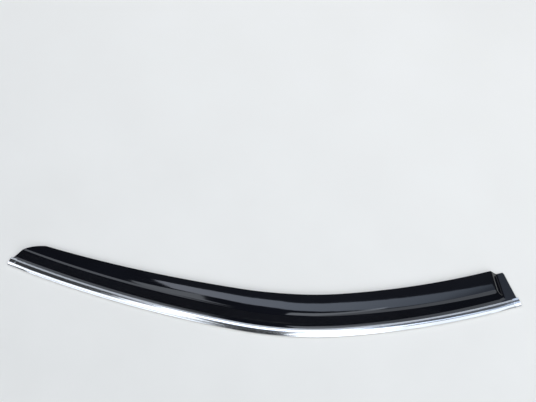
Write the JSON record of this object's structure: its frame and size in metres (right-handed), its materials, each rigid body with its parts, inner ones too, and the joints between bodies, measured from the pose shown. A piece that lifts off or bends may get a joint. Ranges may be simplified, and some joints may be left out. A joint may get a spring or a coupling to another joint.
{
  "type": "window rain deflector",
  "caption": "Curved black car-door window rain deflector: a moulded hood with flange and flat pillar tab, a bright bead trim with end caps, and adhesive tape behind.",
  "frame": {"origin": "middle of the bounding box on the plane the tape lies on", "axes": "+X from the front end to the pillar tab, +Y from the trim to the free edge, +Z out of the door frame"},
  "size_m": [0.9606, 0.1552, 0.0245],
  "materials": {
    "smoke_acrylic": "polished, almost black smoke tint",
    "polished_strip": "mirror-polished stainless steel",
    "plated_cap": "bright-plated moulding",
    "foam_tape": "closed-cell acrylic foam",
    "release_film": "smooth red release film"
  },
  "bodies": {
    "root": {"visor_panel": "smoke_acrylic", "trim_strip": "polished_strip", "front_end_cap": "plated_cap", "rear_end_cap": "plated_cap", "frame_tape": "foam_tape", "frame_tape_liner": "release_film", "tab_tape": "foam_tape", "tab_tape_liner": "release_film"}
  },
  "joints": []
}
